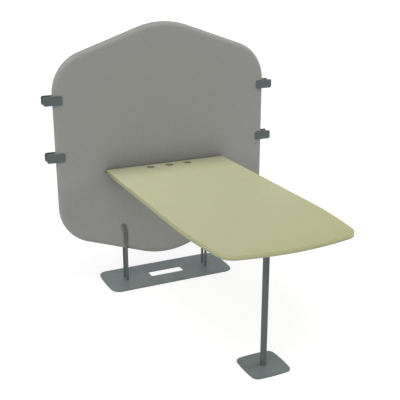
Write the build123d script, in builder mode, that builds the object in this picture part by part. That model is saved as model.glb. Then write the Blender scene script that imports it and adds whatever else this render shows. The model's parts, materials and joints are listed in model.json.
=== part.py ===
from build123d import *
import os
from math import asin, degrees, radians, sqrt, tan

os.makedirs("parts", exist_ok=True)

# A desk that stands on one leg at its free end and is carried by a padded privacy screen at the other.
# X runs along the screen, -Y points to the free end of the worktop, +Z is up.
# The origin is on the floor, under the middle of the whole object.

# Screen panel, a hexagon with rounded corners standing on its lower peak
screen_width = 1312
screen_low_corner = 350
screen_high_corner = 1346
screen_slope = 19.2
screen_peak_radius = 463
screen_corner_radius = 238
screen_thickness = 46
cover_thickness = 1.5
seam_land = 1
core_thickness = 18
core_inset = 15

# Worktop, straight sided at the rear and drawn in to a bowed front edge
worktop_height = 725
worktop_thickness = 22
worktop_width = 750
worktop_length = 1474
worktop_screen_gap = 6
worktop_straight_length = 986
worktop_side_radius = 2350
worktop_front_radius = 1300
worktop_front_corner = 71
worktop_rear_corner = 3
laminate_thickness = 0.8
band_thickness = 2
band_edge_round = 0.8

# Cable holes near the rear edge of the worktop
cable_hole_count = 3
cable_hole_diameter = 48
cable_hole_pitch = 118
cable_hole_setback = 48

# Leg at the free end, a tube with a threaded plug pressed in each end
leg_diameter = 32
leg_wall = 2
leg_setback = 273
leg_plug_length = 30
leg_bolt_diameter = 10
leg_bolt_reach = 22
leg_bolt_head_diameter = 19
leg_bolt_head_depth = 4.5
leg_flange_size = 140
leg_flange_thickness = 6
leg_flange_corner = 16
leg_flange_screw_pitch = 108

# Foot plate under the leg, a square with bowed sides
foot_plate_size = 215
foot_plate_bow = 7
foot_plate_corner = 32

# Floor plate under the screen
floor_plate_length = 803
floor_plate_depth = 316
floor_plate_end_bow = 11
floor_plate_corner = 54
slot_length = 218
slot_width = 70
slot_corner = 8
plate_thickness = 6
plate_edge_round = 0.8

# Pads under both plates
pad_diameter = 24
pad_thickness = 2
floor_pad_inset = 50
foot_pad_inset = 38

# Uprights, round bars that hold the screen between them and hook into its board
rod_diameter = 16
rod_spread = 530
rod_press = 6.5
rod_clearance = 0.3
rod_lean = 14
rod_lean_start = 327
rod_hook_height = 371
rod_lean_radius = 60
rod_hook_radius = 13
rod_spigot_diameter = 10
rod_spigot_length = 8.5
sleeve_wall = 2
rod_screw_diameter = 8
rod_screw_reach = 16
rod_screw_head_diameter = 15
rod_screw_head_depth = 3.5

# Angle brackets between the screen and the underside of the worktop
bracket_spread = 420
bracket_width = 90
bracket_thickness = 4
bracket_drop = 78
bracket_cover_under_top = 88
bracket_corner = 12
bracket_bend_radius = 6
bracket_bolt_diameter = 8
bracket_bolt_pitch = 50
bracket_bolt_drop = 44
bracket_bolt_head_diameter = 14
bracket_bolt_head_height = 4
bracket_spacer_wall = 3
bracket_nut_wall = 2
bracket_nut_flange_diameter = 20
bracket_nut_flange_thickness = 1.5
bracket_screw_pitch_x = 58
bracket_screw_pitch_y = 40
bracket_screw_edge = 22

# Wood screws in the underside of the worktop
wood_screw_diameter = 4.5
wood_screw_reach = 16
wood_screw_head_diameter = 9
wood_screw_head_height = 2.5

# Linking clips on the upright edges of the screen
clip_width = 104
clip_height = 52
clip_thickness = 4.5
clip_corner = 11
clip_edge_round = 0.8
clip_clearance = 0.4
clip_low_height = 826
clip_high_height = 1148
clip_web_thickness = 6
clip_web_height = 42
clip_screw_diameter = 3
clip_screw_reach = 18
clip_screw_pitch = 24
clip_screw_head_diameter = 6
clip_screw_head_depth = 2

# Hexagon recess in a countersunk head, as shares of the shank and of the head
socket_width_share = 0.6
socket_depth_share = 0.6

# Places worked out from the sizes above
screen_half_width = screen_width / 2
screen_peak_rise = screen_half_width * tan(radians(screen_slope))
half_thickness = screen_thickness / 2
half_core = core_thickness / 2
screen_y = (half_thickness + worktop_screen_gap + worktop_length - floor_plate_depth / 2) / 2
screen_front_y = screen_y - half_thickness
worktop_rear_y = screen_front_y - worktop_screen_gap
worktop_front_y = worktop_rear_y - worktop_length
worktop_underside = worktop_height - worktop_thickness
leg_y = worktop_front_y + leg_setback
plate_top = pad_thickness + plate_thickness
rod_radius = rod_diameter / 2
rod_offset = half_thickness + rod_radius - rod_press
rod_tip_spread = rod_spread + 2 * rod_lean
spigot_radius = rod_spigot_diameter / 2
sleeve_radius = spigot_radius + sleeve_wall
leg_bore_radius = leg_diameter / 2 - leg_wall
flange_underside = worktop_underside - leg_flange_thickness
bolt_radius = bracket_bolt_diameter / 2
nut_radius = bolt_radius + bracket_nut_wall
spacer_radius = bolt_radius + bracket_spacer_wall
bracket_bolt_z = worktop_underside - bracket_bolt_drop
bracket_front_y = screen_front_y - bracket_thickness
bracket_reach = worktop_screen_gap + bracket_cover_under_top
clip_gap = screen_thickness + 2 * clip_clearance
clip_x = screen_half_width + clip_clearance + clip_web_thickness / 2

sides = {"left": -1, "right": 1}
faces = {"front": -1, "rear": 1}
levels = {"upper": clip_high_height, "lower": clip_low_height}
standing = (Align.CENTER, Align.CENTER, Align.MIN)

seam_plane = Plane((0, screen_y, 0), x_dir=(1, 0, 0), z_dir=(0, -1, 0))
core_front = seam_plane.offset(half_core)
core_rear = seam_plane.offset(-half_core)
foot_plane = Plane((0, leg_y, pad_thickness))
floor_plate_plane = Plane((0, screen_y, pad_thickness))


def save(builder, name):
    """Label a finished piece and write it to its own file."""
    builder.part.label = name
    export_step(builder.part, f"parts/{name}.step")


def countersunk_holes(plane, places, shank, length, head, head_depth):
    """The space of countersunk screws driven along the plane's normal, with their heads flush with it."""
    with BuildPart(plane) as holes:
        with Locations(*places):
            Cone(head / 2, shank / 2, head_depth, align=standing)
            Cylinder(shank / 2, length, align=standing)
    return holes.part


def countersunk_screws(holes, plane, places, shank, head_depth):
    """Screws that fill the holes, each with a hexagon socket in its head."""
    with BuildPart() as screws:
        add(holes)
        with BuildSketch(plane):
            with Locations(*places):
                RegularPolygon(shank * socket_width_share / 2, 6)
        extrude(amount=head_depth * socket_depth_share, mode=Mode.SUBTRACT)
    return screws


def wood_screws(plane, places, metal):
    """Round headed screws under a metal flange, driven up along the plane's normal."""
    with BuildPart(plane) as screws:
        with Locations(*places):
            Cylinder(wood_screw_diameter / 2, metal + wood_screw_reach, align=standing)
        with BuildSketch(plane):
            with Locations(*places):
                Circle(wood_screw_head_diameter / 2)
        extrude(amount=-wood_screw_head_height)
        crowns = screws.faces().filter_by(Plane.XY).group_by(Axis.Z)[0]
        fillet(crowns.edges(), radius=wood_screw_head_height / 2)
    return screws


# Padded screen

def screen_outline(inset):
    """Outline of the panel as seen from the front, drawn in by inset all round."""
    corners = [
        (-screen_half_width, screen_low_corner),
        (0, screen_low_corner - screen_peak_rise),
        (screen_half_width, screen_low_corner),
        (screen_half_width, screen_high_corner),
        (0, screen_high_corner + screen_peak_rise),
        (-screen_half_width, screen_high_corner),
    ]
    with BuildSketch() as outline:
        with BuildLine():
            Polyline(*corners, close=True)
        make_face()
        fillet(outline.vertices().group_by(Axis.X)[1], radius=screen_peak_radius)
        columns = outline.vertices().group_by(Axis.X)
        fillet(columns[0] + columns[-1], radius=screen_corner_radius)
        if inset:
            offset(amount=-inset)
    return outline.sketch


def rod_bar(side, face, radius):
    """A round bar along an upright's centre line: straight up, leaning out, then hooked to the board."""
    x = side * rod_spread / 2
    y = screen_y + face * rod_offset
    tip_x = side * rod_tip_spread / 2
    with BuildPart() as bar:
        with BuildLine() as path:
            FilletPolyline(
                (x, y, plate_top),
                (x, y, rod_lean_start),
                (tip_x, y, rod_hook_height),
                (tip_x, screen_y + face * half_core, rod_hook_height),
                radius=[rod_lean_radius, rod_hook_radius],
            )
        with BuildSketch(Plane(path.line @ 0, z_dir=path.line % 0)):
            Circle(radius)
        sweep(path=path.line)
    return bar.part


def padded_half(inset):
    """Front half of the padded form, shrunk by inset, with the channels that the uprights press in it."""
    depth = half_thickness - inset
    with BuildPart() as half:
        with BuildSketch(seam_plane):
            add(screen_outline(inset))
        extrude(amount=depth)
        fillet(half.faces().sort_by(Axis.Y)[0].edges(), radius=depth - seam_land)
        for side in sides.values():
            add(rod_bar(side, faces["front"], rod_radius + rod_clearance + inset), mode=Mode.SUBTRACT)
    return half.part


sleeve_places = [(side * rod_tip_spread / 2, rod_hook_height) for side in sides.values()]
nut_places = [
    (side * bracket_spread / 2 + step * bracket_bolt_pitch / 2, bracket_bolt_z)
    for side in sides.values()
    for step in (-1, 1)
]

with BuildPart() as screen_core:
    with BuildSketch(seam_plane):
        add(screen_outline(core_inset))
    extrude(amount=half_core, both=True)
    with BuildSketch(core_front):
        with Locations(*sleeve_places):
            Circle(sleeve_radius)
        with Locations(*nut_places):
            Circle(nut_radius)
    extrude(amount=-core_thickness, mode=Mode.SUBTRACT)
    with BuildSketch(core_rear):
        with Locations(*nut_places):
            Circle(bracket_nut_flange_diameter / 2)
    extrude(amount=bracket_nut_flange_thickness, mode=Mode.SUBTRACT)
save(screen_core, "screen_core")

with BuildPart() as screen_rod_sleeves:
    with BuildSketch(core_front):
        with Locations(*sleeve_places):
            Circle(sleeve_radius)
            Circle(spigot_radius, mode=Mode.SUBTRACT)
    extrude(amount=-core_thickness)
save(screen_rod_sleeves, "screen_rod_sleeves")

with BuildPart() as screen_bracket_nuts:
    with BuildSketch(core_front):
        with Locations(*nut_places):
            Circle(nut_radius)
    extrude(amount=-core_thickness)
    with BuildSketch(core_rear):
        with Locations(*nut_places):
            Circle(bracket_nut_flange_diameter / 2)
    extrude(amount=bracket_nut_flange_thickness)
    with BuildSketch(core_front):
        with Locations(*nut_places):
            Circle(bolt_radius)
    extrude(amount=-core_thickness, mode=Mode.SUBTRACT)
save(screen_bracket_nuts, "screen_bracket_nuts")

with BuildPart() as half_foam:
    add(padded_half(cover_thickness))
    with BuildSketch(seam_plane):
        add(screen_outline(core_inset))
    extrude(amount=half_core, mode=Mode.SUBTRACT)

with BuildPart() as half_cover:
    add(padded_half(0))
    add(padded_half(cover_thickness), mode=Mode.SUBTRACT)

for half, layer in ((half_foam, "foam"), (half_cover, "cover")):
    with BuildPart() as front_half:
        add(half.part)
        with BuildSketch(core_front):
            with Locations(*nut_places):
                Circle(spacer_radius)
        extrude(amount=half_thickness, mode=Mode.SUBTRACT)
    save(front_half, f"screen_front_{layer}")
    with BuildPart() as rear_half:
        mirror(half.part, about=seam_plane)
    save(rear_half, f"screen_rear_{layer}")

# Floor plate, uprights and their screws

rod_feet = [
    (side * rod_spread / 2, face * rod_offset) for side in sides.values() for face in faces.values()
]
rod_screw_holes = countersunk_holes(
    floor_plate_plane,
    rod_feet,
    rod_screw_diameter,
    plate_thickness + rod_screw_reach,
    rod_screw_head_diameter,
    rod_screw_head_depth,
)
rod_screws = countersunk_screws(
    rod_screw_holes, floor_plate_plane, rod_feet, rod_screw_diameter, rod_screw_head_depth
)
save(rod_screws, "rod_screws")

with BuildPart() as floor_plate:
    with BuildSketch(floor_plate_plane):
        end_x = floor_plate_length / 2 - floor_plate_end_bow
        end_y = floor_plate_depth / 2
        with BuildLine():
            Line((-end_x, end_y), (end_x, end_y))
            ThreePointArc((end_x, end_y), (end_x + floor_plate_end_bow, 0), (end_x, -end_y))
            Line((end_x, -end_y), (-end_x, -end_y))
            ThreePointArc((-end_x, -end_y), (-end_x - floor_plate_end_bow, 0), (-end_x, end_y))
        make_face()
        fillet(vertices(), radius=floor_plate_corner)
        RectangleRounded(slot_length, slot_width, slot_corner, mode=Mode.SUBTRACT)
    extrude(amount=plate_thickness)
    top_face = floor_plate.faces().sort_by(Axis.Z)[-1]
    fillet(top_face.edges(), radius=plate_edge_round)
    add(rod_screw_holes, mode=Mode.SUBTRACT)
save(floor_plate, "floor_plate")

for side_name, side in sides.items():
    for face_name, face in faces.items():
        with BuildPart() as rod:
            add(rod_bar(side, face, rod_radius))
            with BuildSketch(seam_plane.offset(-face * half_core)):
                with Locations((side * rod_tip_spread / 2, rod_hook_height)):
                    Circle(spigot_radius)
            extrude(amount=face * rod_spigot_length)
            add(rod_screw_holes, mode=Mode.SUBTRACT)
        save(rod, f"{side_name}_{face_name}_rod")

with BuildPart() as floor_plate_pads:
    with BuildSketch(Plane((0, screen_y, 0))):
        pitch_x = floor_plate_length / 2 - floor_pad_inset
        pitch_y = floor_plate_depth - 2 * floor_pad_inset
        with GridLocations(pitch_x, pitch_y, 3, 2):
            Circle(pad_diameter / 2)
    extrude(amount=pad_thickness)
save(floor_plate_pads, "floor_plate_pads")

# Worktop and what fixes it from below

bracket_screw_y = worktop_rear_y - bracket_cover_under_top + bracket_screw_edge
bracket_screw_places = [
    (
        side * bracket_spread / 2 + step * bracket_screw_pitch_x / 2,
        bracket_screw_y + row * bracket_screw_pitch_y,
    )
    for side in sides.values()
    for step in (-1, 1)
    for row in (0, 1)
]
worktop_bracket_screws = wood_screws(
    Plane.XY.offset(worktop_underside - bracket_thickness), bracket_screw_places, bracket_thickness
)
save(worktop_bracket_screws, "worktop_bracket_screws")

flange_half_pitch = leg_flange_screw_pitch / 2
flange_screw_places = [
    (x * flange_half_pitch, leg_y + y * flange_half_pitch) for x in (-1, 1) for y in (-1, 1)
]
leg_flange_screws = wood_screws(
    Plane.XY.offset(flange_underside), flange_screw_places, leg_flange_thickness
)
save(leg_flange_screws, "leg_flange_screws")


def worktop_outline(inset):
    """Outline of the worktop, drawn in by inset, with the middle of its rear edge at the origin."""
    half_width = worktop_width / 2 - inset
    side_radius = worktop_side_radius - inset
    front_radius = worktop_front_radius - inset
    side_centre = Vector(worktop_width / 2 - worktop_side_radius, -worktop_straight_length)
    across = Vector(0, worktop_front_radius - worktop_length) - side_centre
    along = (side_radius**2 - front_radius**2 + across.length**2) / (2 * across.length)
    unit = across.normalized()
    corner = side_centre + unit * along + Vector(unit.Y, -unit.X) * sqrt(side_radius**2 - along**2)
    turn = degrees(asin((side_centre.Y - corner.Y) / side_radius))
    side_middle = side_centre + Vector(side_radius, 0).rotate(Axis.Z, -turn / 2)
    with BuildSketch() as outline:
        with BuildLine():
            Line((0, -inset), (half_width, -inset))
            Line((half_width, -inset), (half_width, side_centre.Y))
            ThreePointArc((half_width, side_centre.Y), side_middle, corner)
            mirror(about=Plane.YZ)
            ThreePointArc((-corner.X, corner.Y), (0, inset - worktop_length), corner)
        make_face()
        fillet(outline.vertices().group_by(Axis.Y)[0], radius=worktop_front_corner - inset)
        rear_vertices = outline.vertices().group_by(Axis.Y)[-1].sort_by(Axis.X)
        fillet([rear_vertices[0], rear_vertices[-1]], radius=worktop_rear_corner - inset)
    return outline.sketch


def worktop_layer(low, high):
    """One flat layer of the board inside the edge band, with its cable holes and screw holes."""
    with BuildPart() as layer:
        with BuildSketch(Plane((0, worktop_rear_y, low))):
            add(worktop_outline(band_thickness))
            with Locations((0, -cable_hole_setback)):
                with GridLocations(cable_hole_pitch, cable_hole_pitch, cable_hole_count, 1):
                    Circle(cable_hole_diameter / 2, mode=Mode.SUBTRACT)
        extrude(amount=high - low)
        add(worktop_bracket_screws.part, mode=Mode.SUBTRACT)
        add(leg_flange_screws.part, mode=Mode.SUBTRACT)
    return layer


core_low = worktop_underside + laminate_thickness
core_high = worktop_height - laminate_thickness
save(worktop_layer(worktop_underside, core_low), "worktop_bottom_laminate")
save(worktop_layer(core_low, core_high), "worktop_core")
save(worktop_layer(core_high, worktop_height), "worktop_top_laminate")

with BuildPart() as worktop_edge_band:
    with BuildSketch(Plane((0, worktop_rear_y, worktop_underside))):
        add(worktop_outline(0))
        add(worktop_outline(band_thickness), mode=Mode.SUBTRACT)
    extrude(amount=worktop_thickness)
    rims = worktop_edge_band.faces().filter_by(Plane.XY)
    outer_edges = [edge for rim in rims for edge in rim.outer_wire().edges()]
    fillet(outer_edges, radius=band_edge_round)
save(worktop_edge_band, "worktop_edge_band")

# Brackets that carry the rear of the worktop from the screen

bolt_plane = seam_plane.offset(screen_y - bracket_front_y)
bolt_length = bracket_thickness + half_thickness + half_core

with BuildPart() as bracket_bolts:
    with BuildSketch(bolt_plane):
        with Locations(*nut_places):
            Circle(bracket_bolt_head_diameter / 2)
    extrude(amount=bracket_bolt_head_height)
    crowns = bracket_bolts.faces().filter_by(Plane.XZ).group_by(Axis.Y)[0]
    fillet(crowns.edges(), radius=bracket_bolt_head_height / 2)
    with BuildSketch(bolt_plane):
        with Locations(*nut_places):
            Circle(bolt_radius)
    extrude(amount=-bolt_length)
save(bracket_bolts, "bracket_bolts")

with BuildPart() as bracket_spacers:
    with BuildSketch(core_front):
        with Locations(*nut_places):
            Circle(spacer_radius)
            Circle(bolt_radius, mode=Mode.SUBTRACT)
    extrude(amount=half_thickness - half_core)
save(bracket_spacers, "bracket_spacers")

for side_name, side in sides.items():
    with BuildPart() as bracket:
        with BuildSketch(Plane((side * bracket_spread / 2, 0, 0), x_dir=(0, 1, 0), z_dir=(1, 0, 0))):
            with BuildLine():
                Polyline(
                    (screen_front_y, worktop_underside),
                    (screen_front_y - bracket_reach, worktop_underside),
                    (screen_front_y - bracket_reach, worktop_underside - bracket_thickness),
                    (bracket_front_y, worktop_underside - bracket_thickness),
                    (bracket_front_y, worktop_underside - bracket_drop),
                    (screen_front_y, worktop_underside - bracket_drop),
                    close=True,
                )
            make_face()
        extrude(amount=bracket_width / 2, both=True)
        bracket_x = side * bracket_spread / 2
        inside = (bracket_x, bracket_front_y, worktop_underside - bracket_thickness)
        inner_bend = bracket.edges().filter_by(Axis.X).sort_by_distance(inside)[0]
        fillet(inner_bend, radius=bracket_bend_radius)
        outside = (bracket_x, screen_front_y, worktop_underside)
        outer_bend = bracket.edges().filter_by(Axis.X).sort_by_distance(outside)[0]
        fillet(outer_bend, radius=bracket_bend_radius + bracket_thickness)
        fillet(bracket.faces().sort_by(Axis.Y)[0].edges().filter_by(Axis.Z), radius=bracket_corner)
        fillet(bracket.faces().sort_by(Axis.Z)[0].edges().filter_by(Axis.Y), radius=bracket_corner)
        add(bracket_bolts.part, mode=Mode.SUBTRACT)
        add(worktop_bracket_screws.part, mode=Mode.SUBTRACT)
    save(bracket, f"{side_name}_worktop_bracket")

# Leg and foot plate

leg_axis = [(0, 0)]
flange_plane = Plane((0, leg_y, worktop_underside), x_dir=(1, 0, 0), z_dir=(0, 0, -1))
leg_ends = ((foot_plane, plate_thickness), (flange_plane, leg_flange_thickness))

with BuildPart() as leg_bolt_holes:
    for plane, metal in leg_ends:
        bolt_length = metal + leg_bolt_reach
        add(
            countersunk_holes(
                plane, leg_axis, leg_bolt_diameter, bolt_length, leg_bolt_head_diameter, leg_bolt_head_depth
            )
        )

with BuildPart() as leg_bolts:
    add(leg_bolt_holes.part)
    for plane, metal in leg_ends:
        with BuildSketch(plane):
            RegularPolygon(leg_bolt_diameter * socket_width_share / 2, 6)
        extrude(amount=leg_bolt_head_depth * socket_depth_share, mode=Mode.SUBTRACT)
save(leg_bolts, "leg_bolts")

with BuildPart() as foot_plate:
    with BuildSketch(foot_plane):
        edge = foot_plate_size / 2
        corner = edge - foot_plate_bow
        with BuildLine():
            ThreePointArc((corner, corner), (edge, 0), (corner, -corner))
            ThreePointArc((corner, -corner), (0, -edge), (-corner, -corner))
            ThreePointArc((-corner, -corner), (-edge, 0), (-corner, corner))
            ThreePointArc((-corner, corner), (0, edge), (corner, corner))
        make_face()
        fillet(vertices(), radius=foot_plate_corner)
    extrude(amount=plate_thickness)
    fillet(foot_plate.faces().sort_by(Axis.Z)[-1].edges(), radius=plate_edge_round)
    add(leg_bolt_holes.part, mode=Mode.SUBTRACT)
save(foot_plate, "foot_plate")

with BuildPart() as foot_plate_pads:
    with BuildSketch(Plane((0, leg_y, 0))):
        pitch = foot_plate_size - 2 * foot_pad_inset
        with GridLocations(pitch, pitch, 2, 2):
            Circle(pad_diameter / 2)
    extrude(amount=pad_thickness)
save(foot_plate_pads, "foot_plate_pads")

with BuildPart() as leg_tube:
    with BuildSketch(Plane((0, leg_y, plate_top))):
        Circle(leg_diameter / 2)
        Circle(leg_bore_radius, mode=Mode.SUBTRACT)
    extrude(amount=flange_underside - plate_top)
save(leg_tube, "leg_tube")

with BuildPart() as leg_plugs:
    for low in (plate_top, flange_underside - leg_plug_length):
        with BuildSketch(Plane((0, leg_y, low))):
            Circle(leg_bore_radius)
        extrude(amount=leg_plug_length)
    add(leg_bolt_holes.part, mode=Mode.SUBTRACT)
save(leg_plugs, "leg_plugs")

with BuildPart() as leg_flange:
    with BuildSketch(Plane((0, leg_y, flange_underside))):
        RectangleRounded(leg_flange_size, leg_flange_size, leg_flange_corner)
    extrude(amount=leg_flange_thickness)
    add(leg_bolt_holes.part, mode=Mode.SUBTRACT)
    add(leg_flange_screws.part, mode=Mode.SUBTRACT)
save(leg_flange, "leg_flange")

# Linking clips, each two plates on a web, with its outer half left open for the next screen

for level_name, height in levels.items():
    for side_name, side in sides.items():
        name = f"{level_name}_{side_name}_clip"
        x = side * clip_x
        rear_plane = seam_plane.offset(-clip_gap / 2 - clip_thickness)
        places = [(x, height - clip_screw_pitch / 2), (x, height + clip_screw_pitch / 2)]
        clip_screw_holes = countersunk_holes(
            rear_plane,
            places,
            clip_screw_diameter,
            clip_screw_reach,
            clip_screw_head_diameter,
            clip_screw_head_depth,
        )
        clip_screws = countersunk_screws(
            clip_screw_holes, rear_plane, places, clip_screw_diameter, clip_screw_head_depth
        )
        save(clip_screws, f"{name}_screws")

        with BuildPart() as clip_web:
            with BuildSketch(seam_plane):
                with Locations((x, height)):
                    Rectangle(clip_web_thickness, clip_web_height)
            extrude(amount=clip_gap / 2, both=True)
            add(clip_screw_holes, mode=Mode.SUBTRACT)
        save(clip_web, f"{name}_web")

        for face_name, face in faces.items():
            with BuildPart() as clip_plate:
                with BuildSketch(seam_plane.offset(-face * clip_gap / 2)):
                    with Locations((x, height)):
                        RectangleRounded(clip_width, clip_height, clip_corner)
                extrude(amount=-face * clip_thickness)
                outer = clip_plate.faces().filter_by(Plane.XZ).sort_by(Axis.Y)[0 if face < 0 else -1]
                fillet(outer.edges(), radius=clip_edge_round)
                add(clip_screw_holes, mode=Mode.SUBTRACT)
            save(clip_plate, f"{name}_{face_name}_plate")
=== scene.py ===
import json
from math import asin, ceil, cos, exp, hypot, pi, radians, sin, tan

import bpy
from mathutils import Matrix, Vector


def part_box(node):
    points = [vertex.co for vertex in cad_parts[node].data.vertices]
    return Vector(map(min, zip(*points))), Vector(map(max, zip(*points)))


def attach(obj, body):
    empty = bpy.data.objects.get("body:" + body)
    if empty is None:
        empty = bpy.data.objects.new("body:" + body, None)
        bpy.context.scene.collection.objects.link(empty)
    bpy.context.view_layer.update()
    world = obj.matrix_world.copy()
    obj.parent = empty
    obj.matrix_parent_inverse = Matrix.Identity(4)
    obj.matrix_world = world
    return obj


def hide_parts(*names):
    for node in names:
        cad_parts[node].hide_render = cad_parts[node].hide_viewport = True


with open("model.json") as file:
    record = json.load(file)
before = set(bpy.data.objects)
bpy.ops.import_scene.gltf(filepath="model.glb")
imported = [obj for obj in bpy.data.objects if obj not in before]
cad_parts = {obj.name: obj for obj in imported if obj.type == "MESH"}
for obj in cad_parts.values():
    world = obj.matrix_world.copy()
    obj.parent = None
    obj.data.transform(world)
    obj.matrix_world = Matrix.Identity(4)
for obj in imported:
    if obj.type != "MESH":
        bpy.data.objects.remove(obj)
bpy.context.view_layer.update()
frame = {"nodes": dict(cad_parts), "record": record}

nodes = frame["nodes"]
scene = bpy.context.scene

# Lengths are in metres, except where a comment says otherwise

# Camera, solved from the photograph's outlines
CAMERA_PLACE = Vector((-1.6337, -3.3043, 1.9269))
CAMERA_TURN = radians(-25.20)
CAMERA_DOWN = radians(18.62)
CAMERA_REACH = 200.0
FOCAL_PIXELS = 741.5
IMAGE_PIXELS = 400
SENSOR_WIDTH = 36.0  # millimetres

# Screen panel, as the solids have it
LOW_CORNER = 0.350
HIGH_CORNER = 1.346
MIDDLE_HEIGHT = (LOW_CORNER + HIGH_CORNER) / 2
SLOPE = radians(19.2)
PEAK_RADIUS = 0.463
CORNER_RADIUS = 0.238

# Padding of the screen: its rounded edge, its faces and the seam round the edge.
# Each wave has its turns along x and along z, in radians per metre, and where it starts.
EDGE_WIDTH = 0.035
EDGE_SQUARENESS = 0.86
FACE_DROP = 0.0004
CROWN_RISE = 0.0003
WAVE_HEIGHT = 0.00012
WAVES = ((9.1, 3.7, 0.0), (-4.9, 6.3, 1.1), (0.0, 13.7, 2.1))
SEAM_DEPTH = 0.0012
SEAM_HALF_WIDTH = 0.0016

# Mesh of the padding, from the seam inward
OUTLINE_STEP = 0.006
SEAM_RING_DEPTHS = (0.0, 0.0006, 0.0012, 0.0020, 0.0032, 0.0050)
EDGE_STEPS = 14
RING_STEP = 0.0065
RING_REACH = 0.166
CENTRE_STEPS = 12

# Uprights, where they press into the padding. A dent starts at a share of the rounded edge's
# width, and has its full depth one such width further in.
ROD_X = 0.265
ROD_TIP_X = 0.279
ROD_LEAN_START = 0.327
ROD_HOOK_HEIGHT = 0.371
DENT_DEPTH = 0.0064
DENT_HALF_WIDTH = 0.0100
DENT_START_SHARE = 0.45


# Helpers for node materials. A painted corner shade is a reach and a depth: how close another
# piece has to come to darken the colour, and by which share it does so at most.

FULL = (0.0, 1.0)
NOISE_RANGE = (0.30, 0.70)
EDGE_COSINES = (0.999, 0.90)
EDGE_SAMPLES = 6
CORNER_SAMPLES = 8
JOINT_REACH = 0.016
JOINT_SHADE = 0.50


class Painter:
    """Builds one procedural material, node by node."""

    def __init__(self, name):
        self.material = bpy.data.materials.new(name)
        self.material.use_nodes = True
        self.tree = self.material.node_tree
        self.shader = self.tree.nodes["Principled BSDF"]
        self.output = self.tree.nodes["Material Output"]

    def node(self, kind, **settings):
        made = self.tree.nodes.new(kind)
        for key, value in settings.items():
            setattr(made, key, value)
        return made

    def link(self, source, target):
        self.tree.links.new(source, target)

    def fill(self, socket, value):
        """Link the value to the socket if it is an output, or else set it on the socket."""
        if hasattr(value, "is_output"):
            self.link(value, socket)
        else:
            socket.default_value = value

    def math(self, operation, a, b=0.0):
        made = self.node("ShaderNodeMath", operation=operation)
        self.fill(made.inputs[0], a)
        self.fill(made.inputs[1], b)
        return made.outputs[0]

    def place(self):
        return self.node("ShaderNodeTexCoord").outputs["Object"]

    def upwardness(self):
        """1 where the surface faces up, 0 where it is upright, -1 where it faces down."""
        return self.part_of(self.node("ShaderNodeNewGeometry").outputs["Normal"], "Z")

    def scaled(self, coordinates, factors):
        made = self.node("ShaderNodeMapping")
        self.link(coordinates, made.inputs["Vector"])
        made.inputs["Scale"].default_value = factors
        return made.outputs[0]

    def noise(self, coordinates, size, detail=2.0, roughness=0.5):
        """Noise from 0 to 1, with blotches about as large as size."""
        made = self.node("ShaderNodeTexNoise")
        self.link(coordinates, made.inputs["Vector"])
        made.inputs["Scale"].default_value = 1 / size
        made.inputs["Detail"].default_value = detail
        made.inputs["Roughness"].default_value = roughness
        return made.outputs["Fac"]

    def spread(self, value, source, target):
        """The value carried over from the range source to the range target, and held within it."""
        made = self.node("ShaderNodeMapRange")
        self.link(value, made.inputs["Value"])
        names = ("From Min", "From Max", "To Min", "To Max")
        for name, number in zip(names, (*source, *target)):
            made.inputs[name].default_value = number
        return made.outputs[0]

    def graded(self, noise, target=FULL):
        """The part of its range that a noise mostly keeps to, carried over to target."""
        return self.spread(noise, NOISE_RANGE, target)

    def mix(self, factor, a, b):
        made = self.node("ShaderNodeMix", data_type="RGBA")
        self.fill(made.inputs["Factor"], factor)
        self.fill(made.inputs["A"], a)
        self.fill(made.inputs["B"], b)
        return made.outputs["Result"]

    def bump(self, height, distance, strength, normal=None):
        made = self.node("ShaderNodeBump")
        self.link(height, made.inputs["Height"])
        made.inputs["Distance"].default_value = distance
        made.inputs["Strength"].default_value = strength
        if normal is not None:
            self.link(normal, made.inputs["Normal"])
        return made.outputs[0]

    def part_of(self, vector, axis):
        made = self.node("ShaderNodeSeparateXYZ")
        self.link(vector, made.inputs[0])
        return made.outputs[axis]

    def times(self, color, factor):
        made = self.node("ShaderNodeVectorMath", operation="SCALE")
        self.link(color, made.inputs[0])
        self.link(factor, made.inputs["Scale"])
        return made.outputs["Vector"]

    def dot(self, a, b):
        made = self.node("ShaderNodeVectorMath", operation="DOT_PRODUCT")
        self.fill(made.inputs[0], a)
        self.fill(made.inputs[1], b)
        return made.outputs["Value"]

    def shaded_corner(self, color, reach, depth):
        """The colour with painted shade: darker where another piece comes close, most of all in the
        joint itself.
        """
        for distance, loss in ((reach, depth), (JOINT_REACH, JOINT_SHADE)):
            near = self.node("ShaderNodeAmbientOcclusion", samples=CORNER_SAMPLES)
            near.inputs["Distance"].default_value = distance
            color = self.times(color, self.spread(near.outputs["AO"], FULL, (1 - loss, 1.0)))
        return color

    def edges(self, radius):
        """1 on an edge sharper than radius, 0 on a flat face."""
        rounded = self.node("ShaderNodeBevel", samples=EDGE_SAMPLES)
        rounded.inputs["Radius"].default_value = radius
        plain = self.node("ShaderNodeNewGeometry")
        bend = self.dot(rounded.outputs[0], plain.outputs["Normal"])
        return self.spread(bend, EDGE_COSINES, FULL)

    def finish(self, color, roughness, normal, specular=0.5, metallic=0.0, sheen=0.0):
        """Put everything on the shader and hand the material over."""
        self.fill(self.shader.inputs["Base Color"], color)
        self.fill(self.shader.inputs["Roughness"], roughness)
        self.link(normal, self.shader.inputs["Normal"])
        self.shader.inputs["Specular IOR Level"].default_value = specular
        self.shader.inputs["Metallic"].default_value = metallic
        self.shader.inputs["Sheen Weight"].default_value = sheen
        return self.material


def shade(color, factor=1.0):
    """A colour made lighter or darker by factor, with its alpha of 1."""
    return (*(min(channel * factor, 1.0) for channel in color), 1.0)
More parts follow.
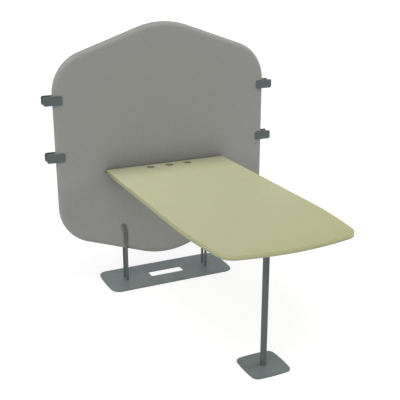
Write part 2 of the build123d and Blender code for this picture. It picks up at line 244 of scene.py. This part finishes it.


# Fabric. Cloth that faces up is paler, as painted light. The painted corner shade is kept to the
# middle of the cloth and fades in upward, so that it lies about the worktop's rear edge.
FABRIC = (0.2215, 0.2255, 0.2115)
THREAD_PITCH = 0.0016
WEAVE_SHARE = 0.25
FLECK_STRETCH = (1.0, 0.35, 1.0)
FLECK_SHADES = (0.91, 1.09)
CLOTH_CLOUD_SHADE = 0.96
CLOTH_CLOUD_SHARE = (0.0, 0.30)
CLOTH_PAINTED_LIGHT_RANGE = (0.06, 0.44)
CLOTH_PAINTED_LIGHT_SHADES = (1.0, 1.20)
CLOTH_CORNER = (0.15, 0.70)
CLOTH_CORNER_SIDES = (0.50, 0.62)
CLOTH_CORNER_HEIGHTS = (0.42, 0.52)


def wool_fabric():
    """A felted plain weave in warm grey, flecked where fibres of two shades mix."""
    p = Painter("wool_fabric")
    cloth = p.node("ShaderNodeAttribute", attribute_name="cloth").outputs["Vector"]
    sideways = p.part_of(cloth, "X")
    upward = p.part_of(cloth, "Y")
    warp = p.math("SINE", p.math("MULTIPLY", sideways, 2 * pi / THREAD_PITCH))
    weft = p.math("SINE", p.math("MULTIPLY", upward, 2 * pi / THREAD_PITCH))
    weave = p.math("MULTIPLY", warp, weft)
    fibres = p.noise(cloth, size=0.0009, detail=3.0, roughness=0.7)
    height = p.math("ADD", p.math("MULTIPLY", weave, WEAVE_SHARE), fibres)

    flecks = p.noise(p.scaled(cloth, FLECK_STRETCH), size=0.0035, detail=4.0, roughness=0.72)
    clouds = p.noise(cloth, size=0.16)
    dark, light = FLECK_SHADES
    color = p.mix(p.graded(flecks), shade(FABRIC, dark), shade(FABRIC, light))
    color = p.mix(p.graded(clouds, CLOTH_CLOUD_SHARE), color, shade(FABRIC, CLOTH_CLOUD_SHADE))
    # Painted light: the cloth is paler where it faces up
    color = p.times(color, p.spread(p.upwardness(), CLOTH_PAINTED_LIGHT_RANGE, CLOTH_PAINTED_LIGHT_SHADES))

    # Painted shade about the worktop's rear edge, kept to the middle of the cloth
    in_middle = p.spread(p.math("ABSOLUTE", sideways), CLOTH_CORNER_SIDES, (1.0, 0.0))
    high_enough = p.spread(upward, CLOTH_CORNER_HEIGHTS, FULL)
    shaded = p.shaded_corner(color, *CLOTH_CORNER)
    color = p.mix(p.math("MULTIPLY", in_middle, high_enough), color, shaded)

    lumps = p.noise(cloth, size=0.05, detail=1.0)
    normal = p.bump(height, distance=0.0004, strength=0.55)
    normal = p.bump(lumps, distance=0.0010, strength=0.20, normal=normal)
    return p.finish(color, roughness=0.95, normal=normal, specular=0.20, sheen=0.10)


# Linoleum. The worktop goes over from one shade to the other along a slanting line, as painted
# shading: darker toward the front right, paler toward the rear left.
# Its edge changes between two depths below the top.
TOP_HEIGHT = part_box("worktop_top_laminate")[1].z
LINOLEUM_FRONT = (0.377, 0.380, 0.196)
LINOLEUM_REAR = (0.526, 0.529, 0.358)
SLANT = (-0.68, 0.73, 0.0)
SLANT_RANGE = (-0.86, 0.73)
EDGE_OLIVE = (0.345, 0.352, 0.176)
EDGE_GREY = (0.272, 0.274, 0.172)
EDGE_CHANGE_LOW = 0.016
EDGE_CHANGE_HIGH = 0.010
MOTTLE_SHADES = (0.968, 1.032)
GRAIN_RANGE = (0.35, 0.65)
GRAIN_SHADES = (1.0, 0.978)
DRIFT_SHADES = (1.0, 0.988)
RUBBED_ROUGHNESS = (0.46, 0.60)
WORKTOP_CORNER = (0.25, 0.86)


def linoleum(name, base, second, change):
    """Matt furniture linoleum with a fine mottle, going over from one shade to a second one."""
    p = Painter(name)
    place = p.place()
    mottle = p.noise(place, size=0.007, detail=6.0, roughness=0.62)
    grain = p.noise(place, size=0.0011, detail=3.0, roughness=0.6)
    drift = p.noise(place, size=0.45)
    rubbed = p.noise(place, size=0.12, detail=4.0, roughness=0.6)
    color = p.mix(change(p, place), shade(base), shade(second))
    color = p.times(color, p.graded(mottle, MOTTLE_SHADES))
    color = p.times(color, p.spread(grain, GRAIN_RANGE, GRAIN_SHADES))
    color = p.times(color, p.graded(drift, DRIFT_SHADES))
    # Painted shade where the screen and other pieces come close to the worktop
    color = p.shaded_corner(color, *WORKTOP_CORNER)
    normal = p.bump(grain, distance=0.00008, strength=0.5)
    return p.finish(color, p.graded(rubbed, RUBBED_ROUGHNESS), normal, specular=0.30)


def painted_shading_toward_screen(p, place):
    """Share of the painted shading's paler shade: 0 at the front right of the worktop, 1 at its
    rear left.
    """
    return p.spread(p.dot(place, SLANT), SLANT_RANGE, FULL)


def down_the_edge(p, place):
    """0 on the upper half of the worktop's edge, 1 at its foot."""
    heights = (TOP_HEIGHT - EDGE_CHANGE_LOW, TOP_HEIGHT - EDGE_CHANGE_HIGH)
    return p.spread(p.part_of(place, "Z"), heights, (1.0, 0.0))


# Powder coat: shades of the paint where it clouds, is specked or burnished, and painted light on
# faces that look up
STEEL_PAINT = (0.0648, 0.0790, 0.0784)
COAT_SHADES = (0.955, 1.045)
SPECK_RANGE = (0.60, 0.76)
SPECK_SHARE = (0.0, 0.25)
SPECK_SHADE = 1.30
COAT_PAINTED_LIGHT_UPWARD = (0.70, 0.98)
COAT_PAINTED_LIGHT_CLOUD_RANGE = (0.2, 0.8)
COAT_PAINTED_LIGHT_CLOUD_SHARE = (0.9, 1.0)
COAT_PAINTED_LIGHT_SHADE = 2.05
RIM_RADIUS = 0.0014
RIM_SHARE = 0.16
RIM_SHADE = 1.45
COAT_ROUGHNESS = (0.46, 0.58)


def powder_coat():
    """Slate green powder coat with its fine orange peel, a little burnished along the edges."""
    p = Painter("powder_coat")
    place = p.place()
    peel = p.noise(place, size=0.0016, detail=3.0, roughness=0.6)
    cloud = p.noise(place, size=0.07, detail=3.0, roughness=0.55)
    specks = p.noise(place, size=0.0045, detail=5.0, roughness=0.7)
    dark, light = COAT_SHADES
    color = p.mix(p.graded(cloud), shade(STEEL_PAINT, dark), shade(STEEL_PAINT, light))
    specked = p.spread(specks, SPECK_RANGE, SPECK_SHARE)
    color = p.mix(specked, color, shade(STEEL_PAINT, SPECK_SHADE))
    # Painted light: the coat is paler where it faces up, a little clouded
    facing_up = p.spread(p.upwardness(), COAT_PAINTED_LIGHT_UPWARD, FULL)
    painted_top_light = p.math("MULTIPLY", facing_up, p.spread(cloud, COAT_PAINTED_LIGHT_CLOUD_RANGE, COAT_PAINTED_LIGHT_CLOUD_SHARE))
    color = p.mix(painted_top_light, color, shade(STEEL_PAINT, COAT_PAINTED_LIGHT_SHADE))
    burnished = p.math("MULTIPLY", p.edges(RIM_RADIUS), RIM_SHARE)
    color = p.mix(burnished, color, shade(STEEL_PAINT, RIM_SHADE))
    normal = p.bump(peel, distance=0.00012, strength=0.55)
    return p.finish(color, p.graded(cloud, COAT_ROUGHNESS), normal, specular=0.42)


# Fasteners, boards, pads and foam, each in a dark and a light shade
ZINC_DARK = (0.36, 0.37, 0.37)
ZINC_LIGHT = (0.52, 0.53, 0.52)
ZINC_ROUGHNESS = (0.28, 0.46)
BOARD_RANGE = (0.32, 0.68)
PLYWOOD_DARK = (0.44, 0.30, 0.16)
PLYWOOD_LIGHT = (0.56, 0.41, 0.24)
FIBREBOARD_DARK = (0.22, 0.225, 0.11)
FIBREBOARD_LIGHT = (0.28, 0.285, 0.14)
RUBBER_DARK = (0.018, 0.018, 0.018)
RUBBER_LIGHT = (0.050, 0.050, 0.048)
FOAM_DARK = (0.48, 0.46, 0.40)
FOAM_LIGHT = (0.62, 0.60, 0.54)


def zinc_plate():
    """Zinc on the fasteners, with its bloom in two greys."""
    p = Painter("zinc_plate")
    place = p.place()
    bloom = p.noise(place, size=0.006, detail=4.0, roughness=0.6)
    color = p.mix(p.graded(bloom), shade(ZINC_DARK), shade(ZINC_LIGHT))
    normal = p.bump(p.noise(place, size=0.0008), distance=0.00004, strength=0.4)
    return p.finish(color, p.graded(bloom, ZINC_ROUGHNESS), normal, metallic=1.0)


def board(name, light, dark, grain_size, stretch):
    """Plywood or fibreboard: fibres in two shades, drawn out along X by stretch."""
    p = Painter(name)
    place = p.scaled(p.place(), (1 / stretch, 1.0, 1.0))
    fibres = p.noise(place, size=grain_size, detail=6.0, roughness=0.65)
    color = p.mix(p.spread(fibres, BOARD_RANGE, FULL), shade(light), shade(dark))
    # Painted shade where other pieces come close, as in the walls of the cable holes
    color = p.shaded_corner(color, *WORKTOP_CORNER)
    normal = p.bump(fibres, distance=0.0003, strength=0.5)
    return p.finish(color, roughness=0.75, normal=normal, specular=0.25)


def speckled(name, dark, light, size, relief, roughness, specular):
    """Rubber or foam: fine specks or cells in two shades."""
    p = Painter(name)
    specks = p.noise(p.place(), size=size, detail=4.0, roughness=0.7)
    color = p.mix(p.graded(specks), shade(dark), shade(light))
    normal = p.bump(specks, distance=relief, strength=0.6)
    return p.finish(color, roughness, normal, specular=specular)


fabric = wool_fabric()
steel = powder_coat()
finishes = {
    "screen_fabric": fabric,
    "screen_foam": speckled(
        "foam", FOAM_DARK, FOAM_LIGHT, size=0.0018, relief=0.0005, roughness=0.95, specular=0.5
    ),
    "screen_board": board("plywood", PLYWOOD_LIGHT, PLYWOOD_DARK, grain_size=0.009, stretch=9.0),
    "worktop_surface": linoleum("olive_linoleum", LINOLEUM_FRONT, LINOLEUM_REAR, painted_shading_toward_screen),
    "worktop_edge": linoleum("olive_edge", EDGE_OLIVE, EDGE_GREY, down_the_edge),
    "worktop_board": board(
        "olive_fibreboard", FIBREBOARD_LIGHT, FIBREBOARD_DARK, grain_size=0.003, stretch=1.5
    ),
    "coated_steel": steel,
    "clip_steel": steel,
    "fasteners": zinc_plate(),
    "floor_pads": speckled(
        "soft_pad", RUBBER_DARK, RUBBER_LIGHT,
        size=0.0015, relief=0.0003, roughness=0.85, specular=0.30,
    ),
}
for part in frame["record"]["subparts"]:
    for material_slot in nodes[part["node"]].material_slots:
        material_slot.material = finishes[part["material_slot"]]


# Upholstered screen. Points on its face are pairs of x and z.

front_low, front_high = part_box("screen_front_cover")
screen_y = front_high.y
half_width = front_high.x
half_depth = screen_y - front_low.y
peak_rise = half_width * tan(SLOPE)


def outline():
    """Points round the panel, seen from the front, each with its outward normal."""
    corners = [
        (Vector((-half_width, LOW_CORNER)), CORNER_RADIUS),
        (Vector((0, LOW_CORNER - peak_rise)), PEAK_RADIUS),
        (Vector((half_width, LOW_CORNER)), CORNER_RADIUS),
        (Vector((half_width, HIGH_CORNER)), CORNER_RADIUS),
        (Vector((0, HIGH_CORNER + peak_rise)), PEAK_RADIUS),
        (Vector((-half_width, HIGH_CORNER)), CORNER_RADIUS),
    ]
    arcs = []
    for i, (corner, radius) in enumerate(corners):
        before = (corner - corners[i - 1][0]).normalized()
        after = (corners[(i + 1) % len(corners)][0] - corner).normalized()
        turn = before.angle(after)
        start = corner - before * radius * tan(turn / 2)
        outward = Vector((before.y, -before.x))
        arcs.append((start - outward * radius, radius, outward, turn))
    border = []
    for i, (centre, radius, outward, turn) in enumerate(arcs):
        steps = ceil(radius * turn / OUTLINE_STEP)
        for step in range(steps + 1):
            normal = Matrix.Rotation(turn * step / steps, 2) @ outward
            border.append((centre + normal * radius, normal))
        last, normal = border[-1]
        next_centre, next_radius, next_outward, _ = arcs[(i + 1) % len(arcs)]
        run = next_centre + next_outward * next_radius - last
        steps = ceil(run.length / OUTLINE_STEP)
        for step in range(1, steps):
            border.append((last + run * step / steps, normal))
    return border


def from_segment(point, a, b):
    """Distance from point to the segment from a to b."""
    along = b - a
    share = max(0.0, min(1.0, (point - a).dot(along) / along.length_squared))
    return (point - a - along * share).length


rod_foot = Vector((ROD_X, 0))
rod_bend = Vector((ROD_X, ROD_LEAN_START))
rod_tip = Vector((ROD_TIP_X, ROD_HOOK_HEIGHT))


def face_depth(point, inset):
    """How far the padded face stands from the middle plane at a point, away from its edge."""
    x, z = point
    half_height = HIGH_CORNER + peak_rise - MIDDLE_HEIGHT
    fall = min(1.0, (x / half_width) ** 2 + ((z - MIDDLE_HEIGHT) / half_height) ** 2)
    wave = sum(sin(turns_x * x + turns_z * z + start) for turns_x, turns_z, start in WAVES)
    depth = half_depth - FACE_DROP + CROWN_RISE * (1 - fall) + WAVE_HEIGHT * wave
    mirrored = Vector((abs(x), z))
    gap = min(
        from_segment(mirrored, rod_foot, rod_bend), from_segment(mirrored, rod_bend, rod_tip)
    )
    pressed = max(0.0, min(1.0, inset / EDGE_WIDTH - DENT_START_SHARE))
    return depth - DENT_DEPTH * pressed * exp(-((gap / DENT_HALF_WIDTH) ** 2))


def edge_rings():
    """For each ring of the rounded edge, from the seam to the face: its inset, its share of the
    face's depth, and the length of cloth from it to the face."""
    angles = [asin((depth / half_depth) ** (1 / EDGE_SQUARENESS)) for depth in SEAM_RING_DEPTHS]
    start = angles[-1]
    angles += [start + (pi / 2 - start) * step / EDGE_STEPS for step in range(1, EDGE_STEPS + 1)]
    rings = []
    for angle in angles:
        share = sin(angle) ** EDGE_SQUARENESS
        inset = EDGE_WIDTH * (1 - max(cos(angle), 0.0) ** EDGE_SQUARENESS)
        inset += SEAM_DEPTH * exp(-((half_depth * share / SEAM_HALF_WIDTH) ** 2))
        rings.append((inset, share))
    lengths = [0.0]
    for (inset, share), (next_inset, next_share) in zip(rings, rings[1:]):
        rise = (next_share - share) * half_depth
        lengths.append(lengths[-1] + hypot(next_inset - inset, rise))
    return [
        (inset, share, lengths[-1] - length) for (inset, share), length in zip(rings, lengths)
    ]


class Skin:
    """The padded cover's vertices, their places on the cloth, and its faces."""

    def __init__(self):
        self.vertices = []
        self.cloth = []
        self.faces = []

    def ring(self, places, side):
        """Add a point for each place: the point on the face, its depth and its place on the
        cloth. Gives the number of the first one."""
        first = len(self.vertices)
        for point, depth, unrolled in places:
            self.vertices.append((point.x, screen_y + side * depth, point.y))
            self.cloth.append((unrolled.x, unrolled.y, side * half_depth))
        return first

    def face_ring(self, points, inset, side):
        """A ring inside the rounded edge, where the cloth lies as the face does."""
        return self.ring([(point, face_depth(point, inset), point) for point in points], side)

    def cover(self, starts, middle, count, side):
        """Faces from each ring to the next one inward, and from the last one to the middle."""
        after = [*range(1, count), 0]
        found = [
            (outer + i, outer + j, inward + j, inward + i)
            for outer, inward in zip(starts, starts[1:])
            for i, j in enumerate(after)
        ]
        found += [(starts[-1] + i, starts[-1] + j, middle) for i, j in enumerate(after)]
        self.faces += found if side < 0 else [face[::-1] for face in found]


def upholstery():
    """The padded cover as one closed skin, with a cloth coordinate that runs on round its edges."""
    border = outline()
    edge = edge_rings()
    flat_steps = ceil((RING_REACH - EDGE_WIDTH) / RING_STEP)
    centre = Vector((0, MIDDLE_HEIGHT))
    skin = Skin()

    seam_inset, _, seam_run = edge[0]
    seam = skin.ring(
        [(p - n * seam_inset, 0.0, p - n * EDGE_WIDTH + n * seam_run) for p, n in border], -1
    )
    for side in (-1, 1):
        starts = [seam]
        for inset, share, run in edge[1:]:
            places = []
            for p, n in border:
                point = p - n * inset
                unrolled = p - n * EDGE_WIDTH + n * run
                places.append((point, share * face_depth(point, inset), unrolled))
            starts.append(skin.ring(places, side))
        for step in range(1, flat_steps + 1):
            inset = EDGE_WIDTH + (RING_REACH - EDGE_WIDTH) * step / flat_steps
            inner = [p - n * inset for p, n in border]
            starts.append(skin.face_ring(inner, inset, side))
        for step in range(1, CENTRE_STEPS):
            share = 1 - step / CENTRE_STEPS
            points = [centre + (point - centre) * share for point in inner]
            starts.append(skin.face_ring(points, RING_REACH, side))
        middle = skin.face_ring([centre], RING_REACH, side)
        skin.cover(starts, middle, len(border), side)

    mesh = bpy.data.meshes.new("screen_upholstery")
    mesh.from_pydata(skin.vertices, [], skin.faces)
    attribute = mesh.attributes.new("cloth", "FLOAT_VECTOR", "POINT")
    for item, value in zip(attribute.data, skin.cloth):
        item.vector = value
    mesh.shade_smooth()
    mesh.materials.append(fabric)
    piece = bpy.data.objects.new("screen_upholstery", mesh)
    scene.collection.objects.link(piece)
    return piece


screen = upholstery()
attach(screen, "desk")
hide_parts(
    "screen_front_cover", "screen_rear_cover", "screen_front_foam", "screen_rear_foam"
)


# Stage: floor, world, lights and camera. Each sun has its name, its strength and the
# direction that it shines from.

FLOOR_HALF_SIZE = 40.0
FLOOR_FILL = 0.85
FLOOR_SHOWN = 0.80
FLOOR_GLOW = 1.16
FLOOR_GLOW_SHARE = 0.65
SKY_STRENGTH = 0.33
SUN_SOFTNESS = radians(50)
SUNS = (
    ("high_light", 1.32, (-0.30, -0.40, 0.86)),
    ("left_light", 1.77, (-0.73, -0.60, 0.20)),
    ("right_light", 1.87, (1.00, -0.20, 0.50)),
)


def seen_directly(p):
    """1 for a ray that the camera, a gloss or a glass sends, 0 for a ray of diffuse light."""
    path = p.node("ShaderNodeLightPath")
    seen = p.math("MAXIMUM", path.outputs["Is Camera Ray"], path.outputs["Is Glossy Ray"])
    return p.math("MAXIMUM", seen, path.outputs["Is Transmission Ray"])


def pale_floor():
    """White with the object's shadow where it is seen, and an even glow toward the object."""
    p = Painter("pale_floor")

    def glow(strength):
        made = p.node("ShaderNodeEmission")
        made.inputs["Strength"].default_value = strength
        return made.outputs[0]

    def mixed(factor, a, b):
        made = p.node("ShaderNodeMixShader")
        p.fill(made.inputs["Fac"], factor)
        p.link(a, made.inputs[1])
        p.link(b, made.inputs[2])
        return made.outputs[0]

    matt = p.node("ShaderNodeBsdfDiffuse")
    matt.inputs["Color"].default_value = shade((FLOOR_SHOWN,) * 3)
    white = mixed(FLOOR_GLOW_SHARE, matt.outputs[0], glow(FLOOR_GLOW))
    p.link(mixed(seen_directly(p), glow(FLOOR_FILL), white), p.output.inputs["Surface"])
    p.tree.nodes.remove(p.shader)
    return p.material


class WorldPainter(Painter):
    """The same helpers on the world's node tree."""

    def __init__(self, world):
        world.use_nodes = True
        self.tree = world.node_tree


floor_mesh = bpy.data.meshes.new("floor")
s = FLOOR_HALF_SIZE
floor_mesh.from_pydata([(-s, -s, 0), (s, -s, 0), (s, s, 0), (-s, s, 0)], [], [(0, 1, 2, 3)])
floor_mesh.materials.append(pale_floor())
floor = bpy.data.objects.new("floor", floor_mesh)
scene.collection.objects.link(floor)

world = bpy.data.worlds.new("studio")
scene.world = world
w = WorldPainter(world)
sky = w.tree.nodes["Background"]
sky.inputs["Color"].default_value = (1.0, 1.0, 1.0, 1.0)
w.fill(sky.inputs["Strength"], w.spread(seen_directly(w), FULL, (SKY_STRENGTH, 1.0)))

for name, strength, comes_from in SUNS:
    sun_data = bpy.data.lights.new(name, "SUN")
    sun_data.energy = strength
    sun_data.angle = SUN_SOFTNESS
    sun = bpy.data.objects.new(name, sun_data)
    sun.rotation_euler = Vector(comes_from).to_track_quat("Z", "Y").to_euler()
    scene.collection.objects.link(sun)

camera_data = bpy.data.cameras.new("camera")
camera_data.sensor_width = SENSOR_WIDTH
camera_data.lens = SENSOR_WIDTH * FOCAL_PIXELS / IMAGE_PIXELS
camera_data.clip_end = CAMERA_REACH
camera = bpy.data.objects.new("camera", camera_data)
camera.location = CAMERA_PLACE
camera.rotation_euler = (pi / 2 - CAMERA_DOWN, 0, CAMERA_TURN)
scene.collection.objects.link(camera)
scene.camera = camera

scene.view_settings.view_transform = "Standard"
